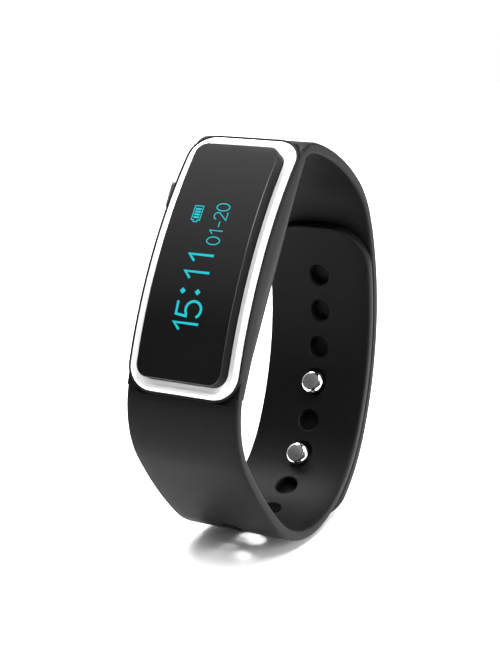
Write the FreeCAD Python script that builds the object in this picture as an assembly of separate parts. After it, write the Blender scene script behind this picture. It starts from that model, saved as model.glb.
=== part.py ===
import FreeCAD, Part
import os
from math import cos, sin, pi, radians

# Fitness tracker band: a curved display module held in a moulded band that closes behind the
# wrist with two studs.  Millimetres.  The origin is the centre of the wrist opening, X runs along
# the wrist, +Z is up and the display faces -Y and slightly up.
#
# The band is drawn in the YZ plane as runs of tangent arcs that all turn the same way, then given
# its width along X.  The display module is drawn flat in its own frame (x along X, y towards the
# upper strap, z out of the display) and placed on the band at the end.

# ---- band ----
BAND_WIDTH = 20.0
STRAP_THICKNESS = 1.8
LAYER_GAP = 0.15                 # between the two strap layers where they overlap
SOFT_EDGE = 0.45                 # rounding along the strap edges
END_RADIUS = 7.5                 # plan radius of the two strap ends
LOWER_START = (-25.46, -3.26)    # inner face of the lower strap where it leaves the module
LOWER_HEADING = -104.5
LOWER_ARCS = [(14.0, 49.3), (80.0, 12.6), (18.3, 51.1), (20.7, 54.5), (45.1, 48.7)]  # (radius, turn)
UPPER_HEADING = 88.7             # where the strap tail starts to bend away
UPPER_OVERLAP_TURN = 23.3        # from there up, the outer layer follows the inner one to its tip
UPPER_ARCS = [(18.0, 30.6), (43.5, 24.3), (5.2, 44.5)]
HOLE_DIAMETER = 3.6
HOLE_COUNT = 10
HOLE_PITCH = 6.85
FIRST_HOLE_FROM_TIP = 9.7
STUD_HOLES = (3, 5)              # holes in use, counted from the tip, starting at 0
STRETCHED_HOLE = (4.5, 5.3)      # width and length of a hole with a stud head through it
STRETCH_OFFSET = 0.35            # the stretched hole reaches further towards the tip
TAIL_END = 48.6                  # along the lower strap, where the outer layer ends

# ---- clasp ----
STUD_HEAD_DIAMETER = 4.2
STUD_FACE_DIAMETER = 2.9
STUD_NECK_DIAMETER = 2.4
STUD_RIVET_DIAMETER = 1.4
STUD_HEAD_BASE = 1.0             # above the inner face of the strap
STUD_HEAD_HEIGHT = 1.2
CLASP_PLATE_THICKNESS = 0.8
CLASP_PLATE_PROUD = 0.3
CLASP_PLATE_WIDTH = 16.0
CLASP_PLATE_SPAN = (56.6, 77.6)  # along the lower strap
HINGE_CLEARANCE = 0.05
SWING_ROOM = 3.0                 # how far past the bend the strap tail needs space to turn
RIVET_END = -4.0                 # where a stud's rivet ends, from the inner face of the strap
RIVET_SHOULDER = -3.7

# ---- display module ----
FRONT_RADIUS = 74.5              # curve of the bezel and lens
MODULE_ORIGIN = (-18.99, 17.34)  # middle of the bezel's front, in Y and Z
MODULE_TILT = 57.95              # turn about X from the module frame to the band frame
BEZEL_LENGTH = 44.7
BEZEL_WIDTH = 19.46
BEZEL_CORNER = 4.6
BEZEL_HEIGHT = 1.3
BEZEL_BAND = 1.98                # width of the bezel along its sides
BEZEL_END_BAND = 1.87            # and across its two ends
LENS_GAP = 0.06
LENS_RISE = 1.7                  # of the lens above the bezel
LENS_THICKNESS = 3.0
LENS_EDGE = 0.35                 # rounding round the front of the lens
CASE_LENGTH = 43.0
CASE_WIDTH = 16.7
CASE_CORNER = 3.7
CASE_WALL = 1.1
CASE_TOP = -1.35
CASE_BOTTOM = -7.2
COLLAR_LIP = -1.0                # top of the side rails at the middle of the module
COLLAR_INNER = -4.1              # their inner face, there
BOOT_LENGTH = 46.0
BOOT_WIDTH = 19.0
BOOT_CORNER = 4.6
BOOT_FOOT_WIDTH = 17.8           # the boot narrows to this at its bottom
BOOT_TOP = -2.0
BOOT_BOTTOM = -6.9
COVER_LENGTH = 41.0
COVER_WIDTH = 15.6
COVER_CORNER = 2.8
COVER_THICKNESS = 1.1
COVER_BOTTOM = -8.4
COVER_TOP = COVER_BOTTOM + COVER_THICKNESS
SEAL_WIDTH = 0.6
FIT_GAP = 0.05

# ---- inside the module ----
PANEL_SIZE = (11.5, 30.0, 1.4)   # along x, y and z
PANEL_CENTRE = (0.0, -0.4)
PANEL_TOP = -2.95
PANEL_BOTTOM = PANEL_TOP - PANEL_SIZE[2]
LEDGE_DROP = 0.6                 # the panel's lower glass reaches past the upper one
FLEX_THICKNESS = 0.12
FLEX_HALF_WIDTH = 3.5
BOARD_TOP = -4.85
BOARD_THICKNESS = 0.6
BOARD_SPAN = (0.6, 19.6)
BOARD_WIDTH = 14.2
BOARD_BOTTOM = BOARD_TOP - BOARD_THICKNESS
BATTERY_SIZE = (12.6, 15.6, 2.1)
BATTERY_CENTRE_Y = -8.7
SCREW_X = 6.0
SCREW_Y = 18.2
SCREW_PLACES = [(sx * SCREW_X, sy * SCREW_Y) for sx in (-1, 1) for sy in (-1, 1)]
SCREW_SHAFT = 1.2
SCREW_SEAT = 0.65                # depth of the screw seats in the back cover
BOSS_HEIGHT = 1.7
BOSS_DIAMETER = 2.8
SCREW_HEAD = 2.2
BUTTON_Y = 10.9
BUTTON_Z = -3.35
BUTTON_LENGTH = 4.8
BUTTON_HEIGHT = 1.8
BUTTON_PROUD = 1.6
BUTTON_TRAVEL = 0.3
BUTTON_GAP = 0.08                # round the button, in the rail and the case
SWITCH_FACE_X = -7.4             # end of the switch's plunger
CONTACT_Y = 7.0
CONTACT_X = 2.4
CONTACT_DIAMETER = 2.0

HALF_BAND = BAND_WIDTH / 2
HALF_CASE = CASE_WIDTH / 2
OUTER_INSIDE = STRAP_THICKNESS + LAYER_GAP         # inner face of the outer layer
OUTER_OUTSIDE = OUTER_INSIDE + STRAP_THICKNESS


# ---- the band's arcs ----

def arc_run(start, heading, arcs):
    """Tangent arcs that all turn left, as (centre y, centre z, radius, heading in, heading out)."""
    y, z = start
    run = []
    for radius, turn in arcs:
        h = radians(heading)
        cy = y - radius * sin(h)
        cz = z + radius * cos(h)
        run.append((cy, cz, radius, heading, heading + turn))
        heading += turn
        y, z = on_arc(run[-1], heading, 0)
    return run


def on_arc(arc, heading, offset):
    cy, cz, radius = arc[:3]
    h = radians(heading)
    return cy + (radius + offset) * sin(h), cz - (radius + offset) * cos(h)


def run_length(run):
    return sum(arc[2] * radians(arc[4] - arc[3]) for arc in run)


def trim_run(run, first, last):
    """The part of a run between two distances along it."""
    kept = []
    passed = 0.0
    for cy, cz, radius, h0, h1 in run:
        length = radius * radians(h1 - h0)
        lo = max(first - passed, 0.0)
        hi = min(last - passed, length)
        if hi > lo:
            turn = 180 / (pi * radius)
            kept.append((cy, cz, radius, h0 + lo * turn, h0 + hi * turn))
        passed += length
    return kept


def station(run, distance, offset=0.0):
    """A point on a run and its heading, at a distance along its inner face."""
    arc = trim_run(run, 0.0, distance)[-1]
    y, z = on_arc(arc, arc[4], offset)
    return y, z, arc[4]


def vec(y, z, x=0.0):
    return FreeCAD.Vector(x, y, z)


def run_edges(run, offset):
    edges = []
    for arc in run:
        ends = [vec(*on_arc(arc, h, offset)) for h in (arc[3], (arc[3] + arc[4]) / 2, arc[4])]
        edges.append(Part.Arc(*ends).toShape())
    return edges


def line(a, b):
    return Part.LineSegment(a, b).toShape()


def slab(edges, half_width):
    """A closed outline in the YZ plane, given its width along X."""
    wire = Part.Wire(Part.__sortEdges__(edges))
    face = Part.Face(wire)
    face.translate(FreeCAD.Vector(-half_width, 0, 0))
    return face.extrude(FreeCAD.Vector(2 * half_width, 0, 0))


def ribbon(run, inner, outer, half_width):
    start = [vec(*on_arc(run[0], run[0][3], offset)) for offset in (inner, outer)]
    end = [vec(*on_arc(run[-1], run[-1][4], offset)) for offset in (inner, outer)]
    edges = run_edges(run, inner) + run_edges(run, outer) + [line(*start), line(*end)]
    return slab(edges, half_width)


def soften_sides(shape, half_width, radius):
    """Rounds the long edges that lie in the two side planes of a ribbon."""
    edges = []
    for edge in shape.Edges:
        in_side = all(abs(abs(v.X) - half_width) < 1e-4 for v in edge.Vertexes)
        if in_side and isinstance(edge.Curve, Part.Circle):
            edges.append(edge)
    return shape.makeFillet(radius, edges)


# ---- plates and pockets of the display module ----

def rounded_prism(width, length, corner, low, high, centre=(0.0, 0.0)):
    """A prism along z on a rectangle with round corners; width along x, length along y."""
    cx, cy = centre
    x = width / 2 - corner
    y = length / 2 - corner
    edges = []
    for sx, sy, a0 in ((1, 1, 0), (-1, 1, 90), (-1, -1, 180), (1, -1, 270)):
        centre_point = FreeCAD.Vector(cx + sx * x, cy + sy * y, low)
        circle = Part.Circle(centre_point, FreeCAD.Vector(0, 0, 1), corner)
        edges.append(Part.Arc(circle, radians(a0), radians(a0 + 90)).toShape())
    sides = []
    for i, edge in enumerate(edges):
        a = edge.Vertexes[1].Point
        b = edges[(i + 1) % 4].Vertexes[0].Point
        if a.distanceToPoint(b) > 1e-6:
            sides.append(line(a, b))
    face = Part.Face(Part.Wire(Part.__sortEdges__(edges + sides)))
    return face.extrude(FreeCAD.Vector(0, 0, high - low))


def under_front(depth):
    """Everything inside the cylinder that lies depth below the curved front."""
    radius = FRONT_RADIUS + depth
    base = FreeCAD.Vector(-30, 0, -FRONT_RADIUS)
    return Part.makeCylinder(radius, 60, base, FreeCAD.Vector(1, 0, 0))


def curved_plate(width, length, corner, top, bottom):
    blank = rounded_prism(width, length, corner, -20, 5)
    return blank.common(under_front(top)).cut(under_front(bottom))


def block(x0, x1, y0, y1, z0, z1):
    return Part.makeBox(x1 - x0, y1 - y0, z1 - z0, FreeCAD.Vector(x0, y0, z0))


def post(x, y, z0, z1, diameter):
    return Part.makeCylinder(diameter / 2, z1 - z0, FreeCAD.Vector(x, y, z0))


def round_uprights(shape, radius):
    """Rounds the edges of a block that run along z."""
    upright = []
    for edge in shape.Edges:
        a, b = edge.Vertexes[0].Point, edge.Vertexes[-1].Point
        if abs(a.x - b.x) + abs(a.y - b.y) < 1e-6:
            upright.append(edge)
    return shape.makeFillet(radius, upright)


def group(shapes):
    return Part.makeCompound(shapes)


MODULE = FreeCAD.Placement(vec(*MODULE_ORIGIN), FreeCAD.Rotation(FreeCAD.Vector(1, 0, 0), MODULE_TILT))


def on_band(shape):
    """Takes a shape from the module frame to the band frame."""
    moved = shape.copy()
    moved.Placement = MODULE.multiply(moved.Placement)
    return moved


def module_point(y, z):
    p = MODULE.multVec(FreeCAD.Vector(0, y, z))
    return p.y, p.z


# ---- runs ----

LOWER = arc_run(LOWER_START, LOWER_HEADING, LOWER_ARCS)
LOWER_LENGTH = run_length(LOWER)
BACK_ARC = LOWER[-1]
BEND_DISTANCE = run_length(LOWER[:-1]) + BACK_ARC[2] * radians(UPPER_HEADING - BACK_ARC[3])
OVERLAP_ARC = (BACK_ARC[2] + OUTER_INSIDE, UPPER_OVERLAP_TURN)
UPPER_START = on_arc(BACK_ARC, UPPER_HEADING, OUTER_INSIDE)
UPPER = arc_run(UPPER_START, UPPER_HEADING, [OVERLAP_ARC] + UPPER_ARCS)
BEND = on_arc(BACK_ARC, UPPER_HEADING, OUTER_INSIDE + STRAP_THICKNESS / 2)


def hole_station(index):
    return station(LOWER, LOWER_LENGTH - FIRST_HOLE_FROM_TIP - index * HOLE_PITCH)


# ---- clasp geometry ----

STUD_POINTS = [hole_station(i)[:2] for i in STUD_HOLES]
CHORD = vec(*STUD_POINTS[0]) - vec(*STUD_POINTS[1])
CHORD.normalize()
STUD_AXIS = FreeCAD.Vector(0, -CHORD.z, CHORD.y)   # into the wrist opening


def along_stud(point, shape):
    """Stands a shape drawn along z on a stud's axis, with its y along the strap."""
    moved = shape.copy()
    turn = FreeCAD.Rotation(FreeCAD.Vector(1, 0, 0), CHORD, STUD_AXIS, "ZYX")
    moved.Placement = FreeCAD.Placement(vec(*point), turn).multiply(moved.Placement)
    return moved


def stud():
    base = STUD_HEAD_BASE
    top = base + STUD_HEAD_HEIGHT
    head = STUD_HEAD_DIAMETER / 2
    face = STUD_FACE_DIAMETER / 2
    neck = STUD_NECK_DIAMETER / 2
    rivet = STUD_RIVET_DIAMETER / 2
    outline = [
        (0, RIVET_END),
        (rivet, RIVET_END),
        (rivet, RIVET_SHOULDER),
        (neck, RIVET_SHOULDER),
        (neck, base),
        (head - 0.25, base),
        (head, base + 0.25),
        (head, base + 0.45),
        (face, top),
        (0, top),
    ]
    points = [FreeCAD.Vector(r, 0, z) for r, z in outline]
    wire = Part.makePolygon(points + points[:1])
    return Part.Face(wire).revolve(FreeCAD.Vector(), FreeCAD.Vector(0, 0, 1), 360)


def clasp_plate_blank(grow):
    """The plate set into the outside of the strap tail, grown all round by a fit gap."""
    span = trim_run(LOWER, CLASP_PLATE_SPAN[0] - grow, CLASP_PLATE_SPAN[1] + grow)
    outside = OUTER_OUTSIDE + CLASP_PLATE_PROUD
    half_width = CLASP_PLATE_WIDTH / 2 + grow
    return ribbon(span, outside - CLASP_PLATE_THICKNESS, outside + 2 * grow, half_width)


def clasp_plate():
    plate = soften_sides(clasp_plate_blank(0.0), CLASP_PLATE_WIDTH / 2, 0.2)
    rivet_bore = post(0, 0, -5, -3, STUD_RIVET_DIAMETER)
    for point in STUD_POINTS:
        plate = plate.cut(along_stud(point, rivet_bore))
    return plate


def clasp_studs(plate):
    return group([along_stud(point, stud()).cut(plate) for point in STUD_POINTS])


# ---- straps ----

def end_trim(y, z, heading, sign):
    """What is cut from a square strap end to leave it round in plan."""
    half = HALF_BAND
    corner_block = block(-half - 1, half + 1, -END_RADIUS, 2, -6, 6)
    rounded = rounded_prism(BAND_WIDTH, 30, END_RADIUS, -7, 7, (0, -15))
    trim = corner_block.cut(rounded)
    if sign < 0:
        trim = trim.mirror(FreeCAD.Vector(), FreeCAD.Vector(0, 1, 0))
    turn = FreeCAD.Rotation(FreeCAD.Vector(1, 0, 0), heading)
    trim.Placement = FreeCAD.Placement(vec(y, z), turn).multiply(trim.Placement)
    return trim


def strap_hole(index):
    y, z, heading = hole_station(index)
    if index in STUD_HOLES:
        width, length = STRETCHED_HOLE
        cutter = rounded_prism(width, length, width / 2 - 0.01, -3.5, 3.5, (0, STRETCH_OFFSET))
        return along_stud((y, z), cutter)
    normal = FreeCAD.Vector(0, sin(radians(heading)), -cos(radians(heading)))
    return Part.makeCylinder(HOLE_DIAMETER / 2, 7, vec(y, z) - normal * 3.5, normal)


def rail_profile():
    """The side rails of the module, between the ends of the two straps."""
    outer = STRAP_THICKNESS
    lower_in = vec(*on_arc(LOWER[0], LOWER[0][3], 0))
    lower_out = vec(*on_arc(LOWER[0], LOWER[0][3], outer))
    upper_in = vec(*on_arc(UPPER[-1], UPPER[-1][4], 0))
    upper_out = vec(*on_arc(UPPER[-1], UPPER[-1][4], outer))
    rail_out = vec(*module_point(0, COLLAR_LIP))
    rail_in = vec(*module_point(0, COLLAR_INNER))
    edges = [Part.Arc(lower_out, rail_out, upper_out).toShape()]
    edges += [Part.Arc(lower_in, rail_in, upper_in).toShape()]
    edges += [line(lower_in, lower_out), line(upper_in, upper_out)]
    return edges


def side_opening():
    """The slot through the rail in which the side button travels."""
    y = BUTTON_LENGTH / 2 + BUTTON_GAP
    z = BUTTON_HEIGHT / 2 + BUTTON_GAP
    inner = -HALF_CASE + 0.3
    return block(-HALF_BAND - 2, inner, BUTTON_Y - y, BUTTON_Y + y, BUTTON_Z - z, BUTTON_Z + z)


def lower_ribbon():
    """The lower strap with its rounded end and its row of holes."""
    strap = soften_sides(ribbon(LOWER, 0, STRAP_THICKNESS, HALF_BAND), HALF_BAND, SOFT_EDGE)
    tip_y, tip_z, tip_heading = station(LOWER, LOWER_LENGTH)
    strap = strap.cut(end_trim(tip_y, tip_z, tip_heading, 1))
    for index in range(HOLE_COUNT):
        strap = strap.cut(strap_hole(index))
    return strap


def boot():
    """The part of the moulding behind the rails, which narrows towards the wrist."""
    body = rounded_prism(BOOT_WIDTH, BOOT_LENGTH, BOOT_CORNER, BOOT_BOTTOM, 5)
    body = body.common(under_front(BOOT_TOP))
    foot = BOOT_FOOT_WIDTH / 2
    side = BOOT_WIDTH / 2
    far = side + 1
    low = BOOT_BOTTOM - 0.1
    corners = [(side, COLLAR_INNER), (foot, low), (far, low), (far, COLLAR_INNER)]
    for sign in (-1, 1):
        points = [FreeCAD.Vector(sign * x, -BOOT_LENGTH, z) for x, z in corners]
        wedge = Part.Face(Part.makePolygon(points + points[:1]))
        body = body.cut(wedge.extrude(FreeCAD.Vector(0, 2 * BOOT_LENGTH, 0)))
    return body


def band_moulding():
    """The fixed moulding: side rails, both strap roots and the boot that holds the case."""
    rails = slab(rail_profile(), HALF_BAND)
    upper = soften_sides(ribbon(UPPER, 0, STRAP_THICKNESS, HALF_BAND), HALF_BAND, SOFT_EDGE)
    band = rails.fuse([lower_ribbon(), upper])
    band = band.fuse(on_band(boot()))
    bezel_pocket = rounded_prism(BEZEL_WIDTH + 0.04, BEZEL_LENGTH + 0.1, BEZEL_CORNER, -10, 8)
    bezel_pocket = bezel_pocket.cut(under_front(-BEZEL_HEIGHT))
    case_pocket = rounded_prism(CASE_WIDTH + 0.1, CASE_LENGTH + 0.1, CASE_CORNER, -14, 8)
    band = band.cut(on_band(bezel_pocket)).cut(on_band(case_pocket))
    band = band.cut(on_band(side_opening()))
    return band.cut(knuckle(HINGE_CLEARANCE, HALF_BAND + 1)).cut(swing_room())


def knuckle(grow, half_width):
    """A round bar on the line where the strap tail bends."""
    start = vec(*BEND, -half_width)
    return Part.makeCylinder(STRAP_THICKNESS / 2 + grow, 2 * half_width, start, FreeCAD.Vector(1, 0, 0))


def swing_room():
    """Space above the bend, on the outside, that the strap tail turns into."""
    y, z = BEND
    far = y + SWING_ROOM
    corners = [vec(y, z), vec(far, z - 0.1), vec(far, z + 1.3 * SWING_ROOM)]
    edges = [line(corners[i - 1], corners[i]) for i in range(len(corners))]
    return slab(edges, HALF_BAND + 1)


def split_band(band):
    """Cuts the moulding at the two ends of the module into collar, upper and lower straps."""
    half = BOOT_LENGTH / 2
    middle = on_band(block(-20, 20, -half, half, -12, 10))
    collar = band.common(middle)
    rest = band.cut(middle)
    upper = max(rest.Solids, key=lambda s: s.CenterOfMass.z)
    lower = min(rest.Solids, key=lambda s: s.CenterOfMass.z)
    return collar, upper, lower


def strap_tail():
    tail = ribbon(trim_run(LOWER, TAIL_END, BEND_DISTANCE), OUTER_INSIDE, OUTER_OUTSIDE, HALF_BAND)
    tail = soften_sides(tail, HALF_BAND, SOFT_EDGE)
    tail = tail.fuse(knuckle(0.0, HALF_BAND - 0.5))
    y, z, heading = station(LOWER, TAIL_END, OUTER_INSIDE)
    tail = tail.cut(end_trim(y, z, heading, -1))
    tail = tail.cut(clasp_plate_blank(FIT_GAP))
    neck_bore = post(0, 0, -5, 0, STUD_NECK_DIAMETER + 2 * FIT_GAP)
    for point in STUD_POINTS:
        tail = tail.cut(along_stud(point, neck_bore))
    return tail


# ---- module housing ----

def bezel():
    ring = curved_plate(BEZEL_WIDTH, BEZEL_LENGTH, BEZEL_CORNER, 0, -BEZEL_HEIGHT)
    width = BEZEL_WIDTH - 2 * BEZEL_BAND
    length = BEZEL_LENGTH - 2 * BEZEL_END_BAND
    return ring.cut(rounded_prism(width, length, BEZEL_CORNER - BEZEL_BAND, -10, 5))


def lens():
    width = BEZEL_WIDTH - 2 * (BEZEL_BAND + LENS_GAP)
    length = BEZEL_LENGTH - 2 * (BEZEL_END_BAND + LENS_GAP)
    corner = BEZEL_CORNER - BEZEL_BAND - LENS_GAP
    window = curved_plate(width, length, corner, LENS_RISE, LENS_RISE - LENS_THICKNESS)
    front = FRONT_RADIUS + LENS_RISE

    def on_front(vertex):
        return abs((vertex.Y ** 2 + (vertex.Z + FRONT_RADIUS) ** 2) ** 0.5 - front) < 1e-4

    rim = [e for e in window.Edges if all(on_front(v) for v in e.Vertexes)]
    return window.makeFillet(LENS_EDGE, rim)


def core_case():
    """Ring-shaped inner case with a seat for the lens, screw bosses and a shelf for the board."""
    case = rounded_prism(CASE_WIDTH, CASE_LENGTH, CASE_CORNER, CASE_BOTTOM, 5).common(under_front(CASE_TOP))
    inner_width = CASE_WIDTH - 2 * CASE_WALL
    inner_length = CASE_LENGTH - 2 * CASE_WALL
    cavity = rounded_prism(inner_width, inner_length, CASE_CORNER - CASE_WALL, -10, 5)
    case = case.cut(cavity)
    outline = rounded_prism(CASE_WIDTH, CASE_LENGTH, CASE_CORNER, CASE_BOTTOM, 5)
    for x, y in SCREW_PLACES:
        boss = post(x, y, CASE_BOTTOM, CASE_BOTTOM + BOSS_HEIGHT, BOSS_DIAMETER)
        case = case.fuse(boss.fuse(boss_web(x, y)).common(outline))
        case = case.cut(post(x, y, -10, CASE_BOTTOM + 1.5, SCREW_SHAFT + 0.1))
    return case.cut(side_slot_in_case()).removeSplitter()


def boss_web(x, y):
    """Joins a screw boss to the corner of the case outside it."""
    width = 2.2
    length = 2.6
    x0 = min(x, x + width * (x / abs(x)))
    y0 = min(y, y + length * (y / abs(y)))
    return block(x0, x0 + width, y0, y0 + length, CASE_BOTTOM, CASE_BOTTOM + BOSS_HEIGHT)


def side_slot_in_case():
    """The slot for the button's stem, smaller than the cap, so that the cap can't fall in."""
    narrowing = 0.5 - BUTTON_GAP
    y = BUTTON_LENGTH / 2 - narrowing
    z = (BUTTON_HEIGHT - narrowing) / 2
    inner = -HALF_CASE + CASE_WALL + 1
    return block(-HALF_CASE - 1, inner, BUTTON_Y - y, BUTTON_Y + y, BUTTON_Z - z, BUTTON_Z + z)


def back_cover():
    plate = rounded_prism(COVER_WIDTH, COVER_LENGTH, COVER_CORNER, COVER_BOTTOM, COVER_TOP)
    rim = [e for e in plate.Edges if all(abs(v.Z - COVER_BOTTOM) < 1e-6 for v in e.Vertexes)]
    plate = plate.makeFillet(0.7, rim)
    for x, y in SCREW_PLACES:
        plate = plate.cut(post(x, y, -10, -5, SCREW_SHAFT + 0.2))
        plate = plate.cut(post(x, y, -10, COVER_BOTTOM + SCREW_SEAT, SCREW_HEAD + 0.2))
    for x in (-CONTACT_X, CONTACT_X):
        plate = plate.cut(post(x, CONTACT_Y, -10, -5, CONTACT_DIAMETER + 0.06))
    return plate


def cover_gasket():
    """Thin seal squeezed between the case and the back cover."""
    ring = rounded_prism(COVER_WIDTH, COVER_LENGTH, COVER_CORNER, COVER_TOP, CASE_BOTTOM)
    width = COVER_WIDTH - 2 * SEAL_WIDTH
    length = COVER_LENGTH - 2 * SEAL_WIDTH
    return ring.cut(rounded_prism(width, length, COVER_CORNER - SEAL_WIDTH, COVER_TOP - 1, CASE_BOTTOM + 1))


def cross_slot():
    long_half = 0.6
    short_half = 0.12
    bar = block(-long_half, long_half, -short_half, short_half, -0.1, 0.3)
    return bar.fuse(block(-short_half, short_half, -long_half, long_half, -0.1, 0.3))


def cover_screws():
    screws = []
    low = COVER_BOTTOM + 0.1
    seat = COVER_BOTTOM + SCREW_SEAT
    for x, y in SCREW_PLACES:
        head = post(x, y, low, seat, SCREW_HEAD)
        shaft = post(x, y, seat, CASE_BOTTOM + 1.3, SCREW_SHAFT)
        slot = cross_slot()
        slot.translate(FreeCAD.Vector(x, y, low))
        screws.append(head.fuse(shaft).cut(slot))
    return group(screws)


def charge_contacts():
    pads = []
    for x in (-CONTACT_X, CONTACT_X):
        pad = post(x, CONTACT_Y, COVER_BOTTOM + 0.02, COVER_TOP, CONTACT_DIAMETER)
        flange = post(x, CONTACT_Y, COVER_TOP, CASE_BOTTOM + 0.1, CONTACT_DIAMETER + 0.8)
        pads.append(pad.fuse(flange))
    return group(pads)


# ---- module contents ----

def display_panel():
    w, l, _ = PANEL_SIZE
    cx, cy = PANEL_CENTRE
    panel = block(cx - w / 2, cx + w / 2, cy - l / 2, cy + l / 2, PANEL_BOTTOM, PANEL_TOP)
    past_upper_glass = block(cx - w, cx + w, cy - l, cy - l / 2 + 3.0, PANEL_TOP - LEDGE_DROP, PANEL_TOP + 1)
    return panel.cut(past_upper_glass)


def display_tape():
    """Foam tape between the display panel and the parts behind it."""
    w, l, _ = PANEL_SIZE
    cx, cy = PANEL_CENTRE
    half = w / 2 - 0.5
    return block(cx - half, cx + half, cy - l / 2 + 4.5, cy + l / 2 - 0.5, PANEL_BOTTOM - 0.3, PANEL_BOTTOM)


def display_flex():
    """Ribbon from the display's bonded ledge, past its end and forward to the board."""
    end = PANEL_CENTRE[1] - PANEL_SIZE[1] / 2
    ledge = PANEL_TOP - LEDGE_DROP
    under = PANEL_BOTTOM - 0.18
    half = FLEX_HALF_WIDTH
    t = FLEX_THICKNESS
    top = block(-half, half, end - 1.0, end + 1.6, ledge, ledge + t)
    drop = block(-half, half, end - 1.0, end - 1.0 + t, under, ledge + t)
    back = block(-half, half, end - 1.0, end + 4.2, under, under + t)
    return top.fuse([drop, back]).removeSplitter()


def main_board():
    half = BOARD_WIDTH / 2
    board = block(-half, half, BOARD_SPAN[0], BOARD_SPAN[1], BOARD_BOTTOM, BOARD_TOP)
    return round_uprights(board, 1.5)


def on_board_underside(x, y, width, length, height):
    low = BOARD_BOTTOM - height
    return block(x - width / 2, x + width / 2, y - length / 2, y + length / 2, low, BOARD_BOTTOM)


def radio_chip():
    return on_board_underside(-4.2, 3.4, 4.0, 4.0, 0.75)


def motion_sensor():
    return on_board_underside(4.6, 2.8, 2.5, 3.0, 0.9)


def board_components():
    parts = []
    for i in range(4):
        parts.append(on_board_underside(0.4, 1.4 + 1.15 * i, 1.6, 0.8, 0.5))
    for i in range(3):
        parts.append(on_board_underside(-5.6 + 1.3 * i, 10.2, 0.6, 1.0, 0.5))
    parts.append(on_board_underside(5.0, 10.6, 3.2, 1.6, 0.8))
    return group(parts)


def antenna():
    return on_board_underside(0.0, BOARD_SPAN[1] - 1.8, 9.0, 2.4, 0.9)


def contact_springs():
    """Leaf springs that carry the charging current from the contacts to the board."""
    springs = []
    half = 0.6
    metal = 0.15
    low = CASE_BOTTOM + 0.1
    back = CONTACT_Y + 1.6
    for x in (-CONTACT_X, CONTACT_X):
        foot = block(x - half, x + half, CONTACT_Y - 1.0, back, BOARD_BOTTOM - metal, BOARD_BOTTOM)
        riser = block(x - half, x + half, back - metal, back, low, BOARD_BOTTOM)
        arm = block(x - half, x + half, CONTACT_Y - 0.8, back, low, low + metal)
        springs.append(foot.fuse([riser, arm]).removeSplitter())
    return group(springs)


def vibration_motor():
    low = BOARD_BOTTOM - 1.6
    can = post(0, 13.0, low, BOARD_BOTTOM, 7.0)
    rim = [e for e in can.Edges if all(abs(v.Z - low) < 1e-6 for v in e.Vertexes)]
    return can.makeFillet(0.3, rim)


def tact_switch():
    """Side-push switch: a body on the board and a plunger that faces the side button."""
    front = SWITCH_FACE_X + 0.3
    body = block(front, front + 1.15, BUTTON_Y - 1.6, BUTTON_Y + 1.6, BOARD_TOP, BUTTON_Z + 0.55)
    plunger = block(SWITCH_FACE_X, front, BUTTON_Y - 0.6, BUTTON_Y + 0.6, BUTTON_Z - 0.4, BUTTON_Z + 0.4)
    return body.fuse(plunger)


def battery():
    w, l, t = BATTERY_SIZE
    top = PANEL_BOTTOM - 0.35
    cell = block(-w / 2, w / 2, BATTERY_CENTRE_Y - l / 2, BATTERY_CENTRE_Y + l / 2, top - t, top)
    long_edges = [e for e in cell.Edges if abs(e.Vertexes[0].Y - e.Vertexes[-1].Y) > 5]
    return cell.makeFillet(0.6, long_edges)


def battery_leads():
    leads = []
    z = PANEL_BOTTOM - 1.4
    y0 = BATTERY_CENTRE_Y + BATTERY_SIZE[1] / 2
    y1 = BOARD_SPAN[0] + 0.3
    for x in (-1.2, 0.0):
        leads.append(block(x, x + 0.4, y0, y1, z, z + 0.2))
    return group(leads)


def side_button():
    """Button cap outside the rail with a stem that ends just short of the switch."""
    y0 = BUTTON_Y - BUTTON_LENGTH / 2
    z0 = BUTTON_Z - BUTTON_HEIGHT / 2
    face_x = -HALF_BAND - BUTTON_PROUD
    cap = block(face_x, -HALF_CASE - 0.35, y0, y0 + BUTTON_LENGTH, z0, z0 + BUTTON_HEIGHT)
    along = [e for e in cap.Edges if abs(e.Vertexes[0].X - e.Vertexes[-1].X) > 1]
    cap = cap.makeFillet(0.6, along)
    rim = [e for e in cap.Edges if all(abs(v.X - face_x) < 1e-6 for v in e.Vertexes)]
    cap = cap.makeFillet(0.25, rim)
    stem_end = SWITCH_FACE_X - BUTTON_TRAVEL - FIT_GAP
    y = 0.8
    z = 0.35
    stem = block(-HALF_CASE - 0.5, stem_end, BUTTON_Y - y, BUTTON_Y + y, BUTTON_Z - z, BUTTON_Z + z)
    return cap.fuse(stem)


def build():
    plate = clasp_plate()
    collar, upper, lower = split_band(band_moulding())
    module = {
        "bezel": bezel(),
        "lens": lens(),
        "core_case": core_case(),
        "back_cover": back_cover(),
        "cover_gasket": cover_gasket(),
        "cover_screws": cover_screws(),
        "charge_contacts": charge_contacts(),
        "contact_springs": contact_springs(),
        "display_panel": display_panel(),
        "display_tape": display_tape(),
        "display_flex": display_flex(),
        "main_board": main_board(),
        "radio_chip": radio_chip(),
        "motion_sensor": motion_sensor(),
        "board_components": board_components(),
        "antenna": antenna(),
        "vibration_motor": vibration_motor(),
        "tact_switch": tact_switch(),
        "battery": battery(),
        "battery_leads": battery_leads(),
        "side_button": side_button(),
    }
    nodes = {name: on_band(shape) for name, shape in module.items()}
    nodes["band_collar"] = collar
    nodes["upper_strap"] = upper
    nodes["lower_strap"] = lower
    nodes["strap_tail"] = strap_tail()
    nodes["clasp_plate"] = plate
    nodes["clasp_studs"] = clasp_studs(plate)
    return nodes


os.makedirs("parts", exist_ok=True)
for name, shape in build().items():
    shape.exportStep("parts/" + name + ".step")
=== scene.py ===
from math import atan2, cos, hypot, pi, radians, sin, sqrt

import bmesh
import bpy
from mathutils import Matrix, Vector


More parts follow.
